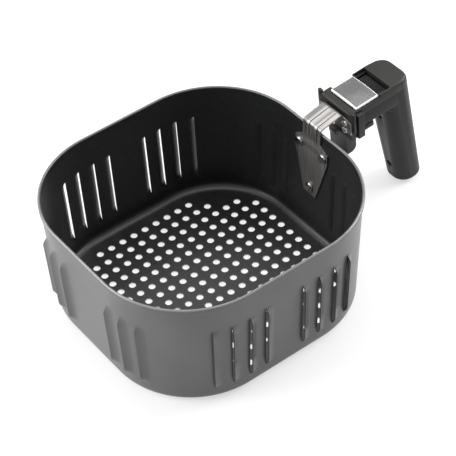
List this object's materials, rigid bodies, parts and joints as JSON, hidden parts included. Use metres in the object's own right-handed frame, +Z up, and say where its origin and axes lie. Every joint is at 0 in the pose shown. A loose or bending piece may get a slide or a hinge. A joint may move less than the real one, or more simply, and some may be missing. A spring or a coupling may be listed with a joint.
{
  "type": "air fryer basket",
  "caption": "Deep-drawn fry basket with perforated floor and louvred walls, carried by a bent strap and a pistol-grip handle with a guarded release button.",
  "frame": {"origin": "centre of the basket's underside, on the surface that it stands on", "axes": "+Z up, +X from the basket to the handle, +Y to the left of someone who holds the handle"},
  "size_m": [0.2984, 0.1938, 0.1102],
  "materials": {
    "coated_sheet": "satin",
    "bright_steel": "polished",
    "steel": "satin",
    "handle_plastic": "matte",
    "button_plastic": "satin",
    "lever_plastic": "satin",
    "clear_plastic": "clear, glossy"
  },
  "bodies": {
    "basket_and_handle": {"basket": "coated_sheet", "handle_strap": "bright_steel", "wall_rivets": "steel", "front_block": "handle_plastic", "plate_screws": "steel", "handle_shell": "handle_plastic", "top_cover": "handle_plastic", "top_cover_screws": "steel", "grip_cover": "handle_plastic", "grip_screws": "steel", "hatch_cover": "handle_plastic", "hatch_screws": "steel", "latch_pin": "steel", "button_spring_left": "steel", "button_spring_right": "steel"},
    "guard": {"button_guard": "clear_plastic"},
    "button": {"release_button": "button_plastic"},
    "latch": {"latch_lever": "lever_plastic"}
  },
  "joints": [
    {"name": "guard_slide", "type": "slide", "parent": "basket_and_handle", "child": "guard", "axis": [0.9976, 0, 0.0698], "range_m": [0, 0.0103]},
    {"name": "button_press", "type": "slide", "parent": "basket_and_handle", "child": "button", "axis": [0.0698, 0, -0.9976], "range_m": [0, 0.003], "stiffness_N_per_m": 600, "springref_m": -0.002, "deforming": ["button_spring_left", "button_spring_right"]},
    {"name": "latch_swing", "type": "hinge", "parent": "basket_and_handle", "child": "latch", "pos_m": [0.13306, 0, 0.09458], "axis": [0, 1, 0], "range_deg": [0, 8.6]}
  ],
  "couplings": [
    {"joint": "latch_swing", "follows": "button_press", "rad_per_m": 49.5}
  ]
}
